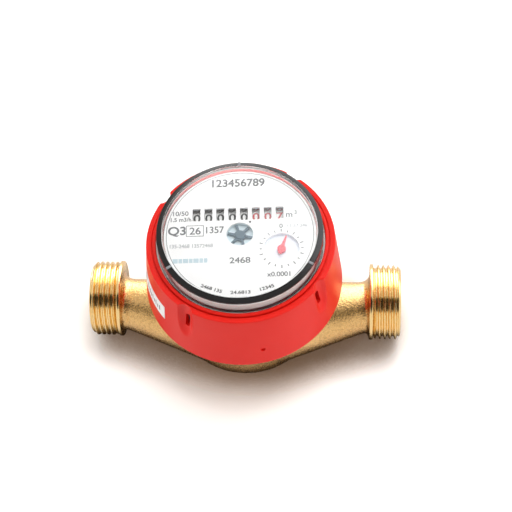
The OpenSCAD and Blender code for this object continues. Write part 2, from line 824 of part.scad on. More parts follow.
module bezel_ring() {
    shelf = lens_top - bezel_drop - bezel_h;
    color("black") on_dial() difference() {
        rotate_extrude($fn = 120) polygon([[bezel_bore / 2, shelf], [lens_d / 2, shelf],
            [lens_d / 2, shelf + bezel_edge_h], [bezel_bore / 2, shelf + bezel_h]]);
        lug_bars(lug_w + 2 * running_gap, bezel_h, shelf + bezel_h - lug_h - running_gap);
    }
}

// Register train

module spindle() {
    color("silver") on_dial() {
        arbor(well_floor + pivot_skin + 0.1, star_top, well_floor + well_floor_t + shoulder_gap, star_top);
        translate([0, 0, level_b]) linear_extrude(wheel_t) gear_flat(spindle_teeth);
    }
}

module driven_magnet() {
    color("dimgray") on_dial() tube(magnet_d, arbor_d, magnet_h, driven_z);
}

module star_indicator() {
    color("steelblue") on_dial() translate([0, 0, star_z]) difference() {
        union() {
            cylinder(r = star_hub_r, h = star_t);
            for (i = [0:star_arms - 1]) rotate([0, 0, star_phase + i * 360 / star_arms])
                translate([0, -star_arm_w / 2, 0]) cube([star_tip_r, star_arm_w, star_t]);
        }
        translate([0, 0, -1]) cylinder(d = arbor_d, h = star_t + 2);
    }
}

module first_wheel() {
    color("ivory") on_dial() translate([FIRST[0], FIRST[1], 0]) {
        arbor(pivot_z, train_z + train_t - 0.2, arbor_low, train_z - shoulder_gap);
        translate([0, 0, level_b]) linear_extrude(wheel_t) gear_flat(first_teeth, first_phase);
        translate([0, 0, level_c]) linear_extrude(wheel_t) gear_flat(small_teeth);
    }
}

module second_wheel() {
    color("ivory") on_dial() translate([SECOND[0], SECOND[1], 0]) {
        arbor(pivot_z, train_z + train_t - 0.2, arbor_low, train_z - shoulder_gap);
        translate([0, 0, level_c]) linear_extrude(wheel_t) gear_flat(second_teeth, second_phase);
        translate([0, 0, level_a]) linear_extrude(wheel_t) gear_flat(small_teeth);
    }
}

module pointer_wheel() {
    color("ivory") on_dial() translate([POINTER[0], POINTER[1], 0]) {
        arbor(pivot_z, pointer_z + pointer_hub_h - 0.2, arbor_low, pointer_z);
        translate([0, 0, level_a]) linear_extrude(wheel_t) gear_flat(second_teeth, pointer_phase);
    }
}

// Left-hand single-start worm: one lobed section twisted up the arbor
function lobe_r(a) =
    a < worm_crest / 2 ? worm_tip
    : a > worm_crest / 2 + worm_flank ? worm_root
    : worm_tip + (worm_root - worm_tip) * (a - worm_crest / 2) / worm_flank;

module worm() {
    points = 18;
    slices = worm_turns * 18;
    outline = [for (i = [0:points - 1]) polar(lobe_r(abs(i * 360 / points - 180)), i * 360 / points - 180)];
    color("ivory") on_dial() translate([POINTER[0], POINTER[1], roller_z])
        rotate([0, 0, 90 + 180 * worm_turns]) difference() {
            linear_extrude(worm_h, center = true, twist = 360 * worm_turns, slices = slices, segments = points)
                polygon(outline);
            translate([0, 0, -worm_h]) cylinder(d = arbor_d, h = 2 * worm_h);
        }
}

module pointer() {
    color("red") on_dial() translate([POINTER[0], POINTER[1], pointer_z]) rotate([0, 0, pointer_angle])
        difference() {
            union() {
                cylinder(r = pointer_hub_r, h = pointer_hub_h);
                translate([0, 0, pointer_hub_h - pointer_t]) linear_extrude(pointer_t)
                    polygon([[-pointer_tail, -0.5], [0, -0.7], [pointer_l, -0.2], [pointer_l, 0.2],
                        [0, 0.7], [-pointer_tail, 0.5]]);
            }
            translate([0, 0, -1]) cylinder(d = pivot_w, h = pointer_hub_h + 0.8);
        }
}

module cross_arbor() {
    start = ear_x + 0.1;
    end = bracket_right + bracket_t;
    color("ivory") on_dial() {
        across(start, cross_y, roller_z, end - start) circle(d = cross_d);
        across(POINTER[0] - worm_wheel_w / 2, cross_y, roller_z, worm_wheel_w)
            gear_flat(worm_wheel_teeth, 180 / worm_wheel_teeth);
        across(cross_gear_x, cross_y, roller_z, cross_gear_w) gear_flat(roller_teeth, 180 / roller_teeth);
    }
}

// Number rollers

// Locking disc of the carry: a plain rim that leaves two teeth
module lock_flat() {
    sector = 27;
    reach = 2 * lock_r;
    wedge = [[0, 0], polar(reach, lock_turn - sector), polar(reach, lock_turn), polar(reach, lock_turn + sector)];
    difference() {
        circle(r = lock_r);
        polygon(wedge);
    }
    intersection() {
        gear_flat(roller_teeth, lock_turn + 180 / roller_teeth);
        polygon(wedge);
    }
    circle(r = lock_r - 2 * gear_m);
}

module number_roller(k) {
    edge = roller_w / 2;
    color("white") on_dial() translate([roller_x(k), row_y, roller_z]) difference() {
        union() {
            across(-edge, 0, 0, roller_w) circle(d = roller_d);
            if (k > 1) across(-edge - side_w, 0, 0, side_w + eps) lock_flat();
            if (k < rollers) across(edge - eps, 0, 0, side_w + eps) gear_flat(roller_teeth, roller_phase);
            else {
                across(edge - eps, 0, 0, cross_gear_x - roller_x(k) - edge + 2 * eps) circle(d = 2 * roller_shaft_d);
                across(cross_gear_x - roller_x(k), 0, 0, cross_gear_w) gear_flat(roller_teeth, 0);
            }
        }
        across(-10, 0, 0, 20) circle(d = roller_shaft_d + 2 * running_gap);
    }
}

// Carry pinion: every tooth reaches the slow roller, every second one the fast roller
module carry_pinion(k) {
    start = roller_x(k) + roller_w / 2 + side_gap;
    half = (roller_pitch - roller_w - 2 * side_gap) / 2;
    color("khaki") on_dial() difference() {
        union() {
            across(start, CARRY[0], CARRY[1], half) gear_flat(carry_teeth, carry_phase);
            across(start + half - eps, CARRY[0], CARRY[1], half + eps)
                gear_flat(carry_teeth, carry_phase + 180 / carry_teeth * 2, 2);
        }
        across(start - 1, CARRY[0], CARRY[1], 4) circle(d = pinion_shaft_d + 2 * running_gap);
    }
}

body();
inlet_strainer();
lower_pivot_pin();
plate_seal();
pressure_plate();
upper_pivot_bush();
clamp_ring();
shield_ring();
retaining_ring();
side_label();
impeller();
pivot_jewel();
impeller_magnet();
upper_pivot_pin();
register_case();
train_plate();
roller_bracket();
roller_shaft();
pinion_shaft();
dial_plate();
lens();
lens_seal();
bezel_ring();
spindle();
driven_magnet();
star_indicator();
first_wheel();
second_wheel();
pointer_wheel();
worm();
pointer();
cross_arbor();
for (k = [1:rollers]) number_roller(k);
for (k = [1:rollers - 1]) carry_pinion(k);
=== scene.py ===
import math

import bpy
from mathutils import Matrix, Vector


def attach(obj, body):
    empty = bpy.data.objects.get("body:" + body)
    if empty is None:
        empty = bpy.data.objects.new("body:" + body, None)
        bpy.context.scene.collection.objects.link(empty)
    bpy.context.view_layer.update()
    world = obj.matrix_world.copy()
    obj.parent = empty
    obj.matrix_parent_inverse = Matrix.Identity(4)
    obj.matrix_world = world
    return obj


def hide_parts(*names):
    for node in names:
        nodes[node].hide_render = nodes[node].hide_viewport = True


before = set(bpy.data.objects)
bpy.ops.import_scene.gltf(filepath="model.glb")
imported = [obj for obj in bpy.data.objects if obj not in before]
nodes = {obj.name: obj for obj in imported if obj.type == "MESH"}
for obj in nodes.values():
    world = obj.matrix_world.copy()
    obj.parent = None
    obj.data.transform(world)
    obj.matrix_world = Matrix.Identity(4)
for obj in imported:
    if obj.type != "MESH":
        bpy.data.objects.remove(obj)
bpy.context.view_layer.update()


# Body casting
# The meter's body is one sand casting in brass: a round bowl, a flange, and two branches to the pipe ends.
# It is blasted after casting, so its skin has an even grain and every edge of the mould is soft.
mm = 0.001
pipe_height = 17 * mm
pipe_end = 55 * mm
collar_face = 45.3 * mm
bore_floor = 46 * mm
mid_wall = 9 * mm
under_thread = 0.86
round_bore = 1.06
behind_end = 0.985
face_margin = 0.1 * mm
casting_voxel = 0.7 * mm
casting_waviness = 0.14 * mm
wave_size = 5 * mm
base_margin = 0.03 * mm
seam_gap = 0.001 * mm


def pick(piece):
    """Leaves edit mode and makes one piece the only selected object, and the active one."""
    if bpy.context.mode != "OBJECT":
        bpy.ops.object.mode_set(mode="OBJECT")
    bpy.ops.object.select_all(action="DESELECT")
    piece.select_set(True)
    bpy.context.view_layer.objects.active = piece


def choose(piece, test):
    """Goes into edit mode with the vertices selected whose place passes the test."""
    pick(piece)
    bpy.ops.object.mode_set(mode="EDIT")
    bpy.ops.mesh.select_mode(type="VERT")
    bpy.ops.mesh.select_all(action="DESELECT")
    bpy.ops.object.mode_set(mode="OBJECT")
    for vertex in piece.data.vertices:
        vertex.select = test(vertex.co)
    bpy.ops.object.mode_set(mode="EDIT")


def close_mesh(piece, outwards=True):
    """Merges the seams of a mesh and turns its faces outwards, unless they already point that way."""
    pick(piece)
    bpy.ops.object.mode_set(mode="EDIT")
    bpy.ops.mesh.select_all(action="SELECT")
    bpy.ops.mesh.remove_doubles(threshold=seam_gap)
    if outwards:
        bpy.ops.mesh.normals_make_consistent(inside=False)
    bpy.ops.object.mode_set(mode="OBJECT")


def smooth(piece, degrees=35):
    """Shades a piece smooth, with an edge wherever it turns by more than this."""
    pick(piece)
    bpy.ops.object.shade_smooth_by_angle(angle=math.radians(degrees))


def modify(piece, kind, **settings):
    """Adds a modifier with these settings and applies it."""
    modifier = piece.modifiers.new(kind.lower(), kind)
    for name, value in settings.items():
        setattr(modifier, name, value)
    pick(piece)
    bpy.ops.object.modifier_apply(modifier=modifier.name)


def copy_of(node, name):
    """A new piece with a merged copy of a CAD node's mesh."""
    piece = bpy.data.objects.new(name, nodes[node].data.copy())
    piece.data.materials.clear()
    bpy.context.collection.objects.link(piece)
    close_mesh(piece, outwards=False)
    return piece


def pipe_radius(place):
    """Distance of a place from the pipe's axis."""
    return math.hypot(place.y, place.z - pipe_height)


class Value:
    """A shader socket. Python's operators on it add Math nodes to its graph."""

    def __init__(self, graph, socket):
        self.graph, self.socket = graph, socket

    def math(self, operation, *others):
        sockets = dict(enumerate((self, *others)))
        return self.graph.add("ShaderNodeMath", {"operation": operation}, sockets)

    def __add__(self, other):
        return self.math("ADD", other)

    __radd__ = __add__

    def __sub__(self, other):
        return self.math("SUBTRACT", other)

    def __rsub__(self, other):
        return self.math("MULTIPLY_ADD", -1, other)

    def __mul__(self, other):
        return self.math("MULTIPLY", other)

    __rmul__ = __mul__

    def __lt__(self, other):
        return self.math("LESS_THAN", other)


class Graph:
    """The nodes of one material or of the world."""

    def __init__(self, owner):
        owner.use_nodes = True
        self.owner, self.tree = owner, owner.node_tree

    def plug(self, socket, value):
        if isinstance(value, Value):
            self.tree.links.new(value.socket, socket)
        else:
            socket.default_value = value

    def add(self, kind, settings=None, sockets=None, output=0):
        """Adds a node: its settings first, then the values or links of its sockets."""
        node = self.tree.nodes.new(kind)
        for name, value in (settings or {}).items():
            setattr(node, name, value)
        for name, value in (sockets or {}).items():
            self.plug(node.inputs[name], value)
        return Value(self, node.outputs[output])

    def mix(self, factor, first, second):
        """A colour between two colours."""
        settings = {"data_type": "RGBA", "clamp_factor": True}
        return self.add("ShaderNodeMix", settings, {0: factor, 6: first, 7: second}, 2)

    def rise(self, value, low, high):
        """0 below low, 1 above high, and a soft step between them."""
        sockets = {"Value": value, "From Min": low, "From Max": high}
        return self.add("ShaderNodeMapRange", {"interpolation_type": "SMOOTHSTEP"}, sockets)


class Finish(Graph):
    """A material with one Principled shader."""

    def __init__(self, name, sockets):
        super().__init__(bpy.data.materials.new(name))
        self.shader = self.tree.nodes["Principled BSDF"]
        self.place = self.add("ShaderNodeTexCoord", output=3)
        self.feed(sockets)

    def feed(self, sockets):
        for name, value in sockets.items():
            self.plug(self.shader.inputs[name], value)

    def along(self, axis):
        """One coordinate of the place on the object, in metres."""
        return self.add("ShaderNodeSeparateXYZ", None, {0: self.place}, "XYZ".index(axis))

    def noise(self, size, detail=2, stretch=(1, 1, 1)):
        """Noise from 0 to 1 whose spots are about this size, in metres."""
        spread = self.add("ShaderNodeMapping", None, {"Vector": self.place, "Scale": stretch})
        return self.add("ShaderNodeTexNoise", None, {"Vector": spread, "Scale": 1 / size, "Detail": detail})

    def emboss(self, height, depth):
        """Bumps the surface by a height from 0 to 1 times this depth."""
        self.feed({"Normal": self.add("ShaderNodeBump", None, {"Height": height, "Distance": depth})})


# The casting is drawn in where the turned sleeves cover it, and its base is cut flat at the end.
casting = copy_of("body", "brass_casting")
choose(casting, lambda p: abs(p.x) > collar_face + face_margin and pipe_radius(p) > mid_wall)
bpy.ops.transform.resize(value=(1, under_thread, under_thread), center_override=(0, 0, pipe_height))
choose(casting, lambda p: abs(p.x) > bore_floor - face_margin and pipe_radius(p) < mid_wall)
bpy.ops.transform.resize(value=(1, round_bore, round_bore), center_override=(0, 0, pipe_height))
choose(casting, lambda p: abs(p.x) > pipe_end - face_margin)
bpy.ops.transform.resize(value=(behind_end, 1, 1), center_override=(0, 0, pipe_height))
bpy.ops.object.mode_set(mode="OBJECT")
modify(casting, "REMESH", mode="VOXEL", voxel_size=casting_voxel, use_smooth_shade=True)
modify(casting, "SMOOTH", factor=0.5, iterations=5)
waves = bpy.data.textures.new("casting_waves", "CLOUDS")
waves.noise_scale = wave_size
modify(casting, "DISPLACE", texture=waves, strength=casting_waviness, texture_coords="LOCAL")
choose(casting, lambda p: p.z < base_margin)
bpy.ops.transform.resize(value=(1, 1, 0), center_override=(0, 0, 0))
bpy.ops.object.mode_set(mode="OBJECT")

cast_brass = Finish("cast_brass", {"Metallic": 1, "Coat Weight": 0.6, "Coat Roughness": 0.25})
grain = cast_brass.noise(0.55 * mm, 3)
speckle = cast_brass.noise(0.85 * mm, 2)
tarnish = cast_brass.noise(14 * mm, 3)
bare = cast_brass.mix(tarnish, (0.70, 0.42, 0.14, 1), (0.86, 0.58, 0.25, 1))
pits = 0.3 * cast_brass.rise(speckle, 0.57, 0.34)
pitted = cast_brass.mix(pits, bare, (0.34, 0.18, 0.05, 1))
cast_brass.feed({"Base Color": pitted, "Roughness": 0.20 + 0.14 * grain})
cast_brass.emboss(grain, 0.17 * mm)
casting.data.materials.append(cast_brass.owner)
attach(casting, "meter_body")
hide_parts("body")


# Threaded pipe ends
# Both ends of the casting are turned and threaded on a lathe, for the union nuts of the pipework.
# The thread is a rounded right-hand pipe thread that runs out at a thin collar, with a chamfered bore.
crest_radius = 13.22 * mm
root_radius = 12.06 * mm
thread_pitch = 1.814 * mm
thread_length = 9.7 * mm
thread_gain = 1.35
lead_in = 0.25 * mm
run_out = 0.9 * mm
collar_radius = 13.5 * mm
collar_back = 11.05 * mm
edge_break = 0.25 * mm
bore_radius = 7.5 * mm
bore_depth = 9 * mm
bore_chamfer = 0.6 * mm
thread_rows = 96
thread_steps = 120


def threaded_radius(depth, turn):
    """Radius of the thread at a depth from the pipe's end, a share of a turn round the pipe."""
    phase = (depth / thread_pitch + turn) % 1
    ridge = 0.5 - 0.5 * math.cos(2 * math.pi * phase)
    ridge = min(1, max(0, thread_gain * ridge - (thread_gain - 1) / 2))
    fade = min(1, max(0, (thread_length - depth) / run_out))
    cut = root_radius + (crest_radius - root_radius) * ridge * fade
    return min(cut, root_radius - lead_in + depth)


def sleeve_outline():
    """Depth and radius of each row of the sleeve. A radius of None is the thread's."""
    rows = [(thread_length * i / thread_rows, None) for i in range(thread_rows + 1)]
    rows += [(thread_length, collar_radius - edge_break)]
    rows += [(thread_length + edge_break, collar_radius), (collar_back - edge_break, collar_radius)]
    rows += [(collar_back, collar_radius - edge_break), (collar_back, mid_wall), (bore_depth, mid_wall)]
    rows += [(bore_depth, bore_radius), (bore_chamfer, bore_radius), (0, bore_radius + bore_chamfer)]
    return rows + [(0, mid_wall), (0, None)]


turned_brass = Finish("turned_brass", {"Metallic": 1})
tool_marks = turned_brass.noise(0.09 * mm, 1, (1, 0.02, 0.02))
smudges = turned_brass.noise(6 * mm, 3)
smudged = turned_brass.mix(smudges, (0.88, 0.63, 0.28, 1), (0.96, 0.76, 0.41, 1))
turned_brass.feed({"Base Color": smudged, "Roughness": 0.12 + 0.08 * smudges + 0.06 * tool_marks})
turned_brass.emboss(tool_marks, 0.02 * mm)


def thread_sleeve(name, side):
    """A grid wrapped into a closed tube, with the thread cut into its outside."""
    rows = sleeve_outline()
    last = len(rows) - 1
    bpy.ops.object.select_all(action="DESELECT")
    bpy.ops.mesh.primitive_grid_add(x_subdivisions=last, y_subdivisions=thread_steps, size=1)
    sleeve = bpy.context.object
    sleeve.name = name
    for vertex in sleeve.data.vertices:
        depth, radius = rows[round((vertex.co.x + 0.5) * last)]
        turn = (vertex.co.y + 0.5) % 1
        if radius is None:
            radius = threaded_radius(depth, side * turn)
        angle = 2 * math.pi * turn
        across, up = radius * math.cos(angle), radius * math.sin(angle)
        vertex.co = (side * (pipe_end - depth), across, pipe_height + up)
    close_mesh(sleeve)
    smooth(sleeve, 50)
    sleeve.data.materials.append(turned_brass.owner)
    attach(sleeve, "meter_body")
    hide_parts("body")


thread_sleeve("inlet_thread", -1)
thread_sleeve("outlet_thread", 1)


# Parts in the wet chamber
# The strainer, the pivots, the impeller and the plate that closes the chamber are plain turned or moulded
# parts, pressed or dropped into the casting before the red ring goes on.


def moulding(name, colour, deep, roughness, texture=0.05 * mm, size=0.5 * mm):
    """A moulded plastic or rubber: a fine spark-eroded grain and slow changes of colour."""
    finish = Finish(name, {})
    fine, slow = finish.noise(size, 3), finish.noise(9 * mm, 2)
    finish.feed({"Base Color": finish.mix(slow, deep, colour), "Roughness": roughness + 0.12 * fine})
    finish.emboss(fine, texture)
    return finish


def ground_metal(name, colour, deep, roughness):
    """A ground metal: long fine scratches and a little stain."""
    finish = Finish(name, {"Metallic": 1})
    scratches, stain = finish.noise(0.12 * mm, 2, (0.06, 1, 1)), finish.noise(4 * mm, 2)
    finish.feed({"Base Color": finish.mix(stain, deep, colour), "Roughness": roughness + 0.15 * scratches})
    finish.emboss(scratches, 0.01 * mm)
    return finish


def dress(finish, *names):
    """Gives CAD nodes a finish."""
    for name in names:
        nodes[name].data.materials.clear()
        nodes[name].data.materials.append(finish.owner)


white_moulding = moulding("white_moulding", (0.86, 0.86, 0.84, 1), (0.80, 0.80, 0.78, 1), 0.42, 0.02 * mm)
plate_grey = moulding("plate_grey", (0.19, 0.20, 0.21, 1), (0.15, 0.16, 0.17, 1), 0.5)
seal_rubber = moulding("seal_rubber", (0.022, 0.022, 0.022, 1), (0.012, 0.012, 0.012, 1), 0.6)
ferrite = moulding("ferrite", (0.075, 0.075, 0.08, 1), (0.05, 0.05, 0.052, 1), 0.45, 0.03 * mm, 0.2 * mm)
pivot_steel = ground_metal("pivot_steel", (0.66, 0.67, 0.69, 1), (0.56, 0.57, 0.58, 1), 0.22)
ruby = moulding("ruby", (0.55, 0.03, 0.08, 1), (0.42, 0.02, 0.05, 1), 0.08, 0.001 * mm)
dress(white_moulding, "inlet_strainer", "impeller")
dress(plate_grey, "pressure_plate")
dress(seal_rubber, "plate_seal")
dress(turned_brass, "upper_pivot_bush", "clamp_ring")
dress(pivot_steel, "lower_pivot_pin", "upper_pivot_pin", "shield_ring")
dress(ferrite, "impeller_magnet")
dress(ruby, "pivot_jewel")


# Red retaining ring
# One injection moulding in red plastic that clips over the casting's flange and holds the register down.
# Four scoops with a slot each take the seal wire, and a lip inside its shoulder guides the lens.
# A thin black band between its wall and the register is painted shade: it stands behind the slots so that they
# show dark.
ring_foot = 31.8 * mm
shoulder = 56.8 * mm
foot_radius = 34.4 * mm
shoulder_radius = 32 * mm
groove_radius = 30.2 * mm
groove_floor = 56.2 * mm
skirt_radius = 31.2 * mm
flange_seat = 35 * mm
bore_wall = 29.7 * mm
lip_radius = 28.6 * mm
lip_foot = 56.6 * mm
lip_top = 57.5 * mm
ring_steps = 720
wall_rows = [(32.6 + 0.5 * i) * mm for i in range(47)]
shoulder_step = 0.3 * mm
scoop_turn = math.radians(-32.5)
scoop_radius = 3.4 * mm
scoop_floor = 30.4 * mm
scoop_end = 41.3 * mm
scoop_curve = 2.6
scoop_edge = 0.3 * mm
no_scoop = 1000 * mm
slot_size = (6 * mm, 1.7 * mm, 6 * mm)
slot_radius = 31 * mm
slot_height = 48.4 * mm
slot_rounding = 0.75 * mm
gate_turn = math.radians(-75.7)
gate_height = 40 * mm
gate_radius = 0.9 * mm
gate_pin = 2 * mm
gate_stand = 0.3 * mm
gate_rounding = 0.2 * mm
same_spot = 0.01 * mm


def lathe(name, outline, steps, rounds=(), open_ended=False):
    """Spins an outline of (radius, height) points round the upright axis.
    rounds holds (radius of rounding, points of the outline that get it)."""
    bpy.ops.object.select_all(action="DESELECT")
    bpy.ops.mesh.primitive_circle_add(vertices=len(outline), fill_type="NOTHING")
    piece = bpy.context.object
    piece.name = name
    for vertex, (radius, height) in zip(piece.data.vertices, outline):
        vertex.co = (radius, 0, height)
    if open_ended:
        choose(piece, lambda p: p.x < seam_gap)
        bpy.ops.mesh.delete(type="EDGE")
        bpy.ops.object.mode_set(mode="OBJECT")
    for size, corners in rounds:
        spots = [Vector((r, 0, z)) for r, z in corners]
        choose(piece, lambda p: any((p - spot).length < same_spot for spot in spots))
        bpy.ops.mesh.bevel(offset=size, segments=4, affect="VERTICES")
        bpy.ops.object.mode_set(mode="OBJECT")
    pick(piece)
    bpy.ops.object.mode_set(mode="EDIT")
    bpy.ops.mesh.select_all(action="SELECT")
    bpy.ops.mesh.spin(steps=steps, angle=2 * math.pi, center=(0, 0, 0), axis=(0, 0, 1))
    bpy.ops.object.mode_set(mode="OBJECT")
    close_mesh(piece)
    return piece


def wall_radius(height):
    """Radius of the ring's outer wall at a height."""
    share = (height - ring_foot) / (shoulder - ring_foot)
    return foot_radius + (shoulder_radius - foot_radius) * share


def scoop_radius_at(height, turn):
    """Radius at which a scoop's wall stands, this far round from its middle: a trough that runs out below."""
    drop = max(0, shoulder - height) / (shoulder - scoop_end)
    centre = scoop_floor + (wall_radius(scoop_end) - scoop_floor) * drop**scoop_curve + scoop_radius
    room = scoop_radius**2 - (centre * math.sin(turn)) ** 2
    if room <= 0 or math.cos(turn) < 0:
        return no_scoop
    return centre * math.cos(turn) - math.sqrt(room)


def soft_least(first, second, width):
    """The lesser of two lengths, blended where they come close."""
    near = max(0, 1 - abs(first - second) / width)
    return min(first, second) - width * near * near / 4


def scooped(place):
    """A place on the plain ring, moved in where a scoop lies."""
    radius, turn = math.hypot(place.x, place.y), math.atan2(place.y, place.x)
    wall = wall_radius(place.z)
    quarter = math.pi / 2
    from_scoop = (turn - scoop_turn + quarter / 2) % quarter - quarter / 2
    shift = soft_least(wall, scoop_radius_at(place.z, from_scoop), scoop_edge) - wall
    share = min(1, max(0, (radius - groove_radius) / (wall - groove_radius)))
    scale = (radius + shift * share) / radius
    return Vector((place.x * scale, place.y * scale, place.z))


wall_points = [(wall_radius(height), height) for height in wall_rows]
shoulder_points = [(groove_radius + shoulder_step * i, shoulder) for i in range(5, 0, -1)]
foot, corner = (foot_radius, ring_foot), (shoulder_radius, shoulder)
inner_foot, groove_edge = (skirt_radius, ring_foot), (groove_radius, shoulder)
lip_outer, lip_inner = (bore_wall, lip_top), (lip_radius, lip_top)
ring_outline = [inner_foot, foot, *wall_points, corner, *shoulder_points, groove_edge]
ring_outline += [(groove_radius, groove_floor), (bore_wall, groove_floor), lip_outer, lip_inner]
ring_outline += [(lip_radius, lip_foot), (bore_wall, lip_foot)]
ring_outline += [(bore_wall, flange_seat), (skirt_radius, flange_seat)]
ring_rounds = [(0.55 * mm, [foot]), (0.6 * mm, [corner]), (0.15 * mm, [groove_edge, inner_foot])]
ring_rounds += [(0.3 * mm, [lip_outer, lip_inner])]
red_ring = lathe("red_ring", ring_outline, ring_steps, ring_rounds)
for vertex in red_ring.data.vertices:
    vertex.co = scooped(vertex.co)


def cut_ring(cutter, radius, height, turn, rounding):
    """Cuts the ring with a rounded tool that stands at this radius and height, turned round the ring."""
    modify(cutter, "BEVEL", width=rounding, segments=4, limit_method="ANGLE")
    out = Matrix.Translation((radius, 0, height))
    cutter.data.transform(Matrix.Rotation(turn, 4, "Z") @ out)
    modify(red_ring, "BOOLEAN", object=cutter, operation="DIFFERENCE", solver="EXACT")
    bpy.data.objects.remove(cutter)


for quarter in range(4):
    bpy.ops.object.select_all(action="DESELECT")
    bpy.ops.mesh.primitive_cube_add(size=1)
    bpy.context.object.data.transform(Matrix.Diagonal((*slot_size, 1)))
    slot_turn = scoop_turn + quarter * math.pi / 2
    cut_ring(bpy.context.object, slot_radius, slot_height, slot_turn, slot_rounding)
bpy.ops.object.select_all(action="DESELECT")
bpy.ops.mesh.primitive_cylinder_add(radius=gate_radius, depth=gate_pin, vertices=24)
bpy.context.object.data.transform(Matrix.Rotation(math.pi / 2, 4, "Y"))
gate_reach = wall_radius(gate_height) + gate_stand
cut_ring(bpy.context.object, gate_reach, gate_height, gate_turn, gate_rounding)
smooth(red_ring, 40)

red_plastic = Finish("red_plastic", {"Specular IOR Level": 0.25})
skin = red_plastic.noise(0.25 * mm, 3)
flow = red_plastic.noise(12 * mm, 2)
red = red_plastic.mix(flow, (0.80, 0.014, 0.008, 1), (0.86, 0.021, 0.013, 1))
red_plastic.feed({"Base Color": red, "Roughness": 0.30 + 0.14 * skin})
red_plastic.emboss(skin, 0.025 * mm)
red_ring.data.materials.append(red_plastic.owner)
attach(red_ring, "meter_body")
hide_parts("retaining_ring")

shade_band_inner, shade_band_outer = 29.45 * mm, 29.62 * mm
shade_band_foot, shade_band_top = 43.5 * mm, 53.5 * mm


def hoop(name, inner, outer, foot, top):
    """A plain thin hoop round the upright axis."""
    return lathe(name, [(inner, foot), (outer, foot), (outer, top), (inner, top)], 180)


# Painted shade: a black hoop behind the slots, so that they show dark.
slot_shade_band = hoop("slot_shade_band", shade_band_inner, shade_band_outer, shade_band_foot, shade_band_top)
smooth(slot_shade_band)
slot_shade_band.data.materials.append(seal_rubber.owner)
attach(slot_shade_band, "meter_body")


# Paper label
# A white paper label stuck to the ring's wall on the inlet side. Its print is two small blocks and a row
# of strokes in dark ink, all wrapped round the ring's cone.
label_start = math.radians(-170.5)
label_sweep = math.radians(31)
label_foot = 40.9 * mm
label_height = 7 * mm
label_thickness = 0.13 * mm
label_print_lift = 0.01 * mm
label_print_thickness = 0.015 * mm


def joined(name, parts):
    """Several meshes as one piece."""
    bpy.ops.object.select_all(action="DESELECT")
    for part in parts:
        part.select_set(True)
    bpy.context.view_layer.objects.active = parts[0]
    if len(parts) > 1:
        bpy.ops.object.join()
    parts[0].name = name
    return parts[0]


def on_ring_wall(along, up, lift):
    """Place on the ring's wall, a share along the label and a share up it."""
    angle, height = label_start + label_sweep * along, label_foot + label_height * up
    radius = wall_radius(height) + lift
    return Vector((radius * math.cos(angle), radius * math.sin(angle), height))


def sticker(name, patches, lift, columns, rows):
    """Flat patches of the label as (left, low, right, high) shares, wrapped onto the ring's wall."""
    bpy.ops.object.select_all(action="DESELECT")
    made = []
    for left, low, right, high in patches:
        bpy.ops.mesh.primitive_grid_add(x_subdivisions=columns, y_subdivisions=rows, size=1)
        made.append(bpy.context.object)
        for vertex in made[-1].data.vertices:
            along = left + (right - left) * (vertex.co.x + 0.5)
            vertex.co = on_ring_wall(along, low + (high - low) * (vertex.co.y + 0.5), lift)
    return joined(name, made)


label = sticker("paper_label", [(0, 0, 1, 1)], 0, 40, 8)
modify(label, "SOLIDIFY", thickness=label_thickness, offset=1)
smooth(label)
paper = moulding("paper", (0.95, 0.95, 0.94, 1), (0.91, 0.91, 0.90, 1), 0.5, 0.02 * mm, 0.12 * mm)
label.data.materials.append(paper.owner)
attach(label, "meter_body")
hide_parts("side_label")

strokes = [(0.07, 0.55, 0.15, 0.86), (0.09, 0.42, 0.17, 0.58)]
strokes += [(0.26 + 0.07 * i, 0.28, 0.285 + 0.07 * i, 0.66 - 0.1 * (i % 2)) for i in range(9)]
label_print = sticker("label_print", strokes, label_thickness + label_print_lift, 3, 1)
modify(label_print, "SOLIDIFY", thickness=label_print_thickness, offset=1)
label_ink = moulding("label_ink", (0.20, 0.13, 0.16, 1), (0.10, 0.09, 0.12, 1), 0.5, 0.004 * mm)
label_print.data.materials.append(label_ink.owner)
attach(label_print, "meter_body")


# Register case and gear train
# The register is a sealed dry box: a white cup with a bearing plate, a bracket for the rollers, and wheels
# in pale acetal that bring the magnet's turns down to the pointer and the number rollers.
frame_grey = moulding("frame_grey", (0.64, 0.68, 0.72, 1), (0.58, 0.62, 0.66, 1), 0.45, 0.02 * mm)
acetal = moulding("acetal", (0.82, 0.79, 0.69, 1), (0.76, 0.73, 0.62, 1), 0.35, 0.01 * mm)
dress(white_moulding, "register_case")
dress(frame_grey, "train_plate", "roller_bracket")
dress(pivot_steel, "roller_shaft", "pinion_shaft", "spindle")
dress(ferrite, "driven_magnet")
dress(acetal, "first_wheel", "second_wheel", "pointer_wheel", "worm", "cross_arbor")
dress(acetal, *[f"transfer_pinion_{k}" for k in range(1, 8)])


# Number rollers
# Eight white rollers with ten printed figures each: five black ones for whole units, three red ones for
# the fractions. Each roller's figures are one printed skin that turns with it.
dial_turn = math.radians(3)
row_middle = Vector((-0.6 * mm, 8.05 * mm, 51.3 * mm))
roller_pitch = 4 * mm
roller_radius = 6.5 * mm
figure_size = 4.5 * mm
figure_width = 1.1
figure_bold = 0.08 * mm
figure_step = math.radians(36)
cut_step = 0.5 * mm
reading = (0, 0, 0, 0, 0, 0, 0, 7)
whole_figures = 5
ink_thickness = 0.012 * mm
ink_lift = 0.012 * mm
roller_white = moulding("roller_white", (0.87, 0.87, 0.86, 1), (0.82, 0.82, 0.81, 1), 0.38, 0.008 * mm)
black_ink = moulding("black_ink", (0.018, 0.026, 0.030, 1), (0.012, 0.016, 0.018, 1), 0.4, 0.004 * mm)
red_ink = moulding("red_ink", (0.56, 0.04, 0.05, 1), (0.48, 0.03, 0.04, 1), 0.4, 0.004 * mm)


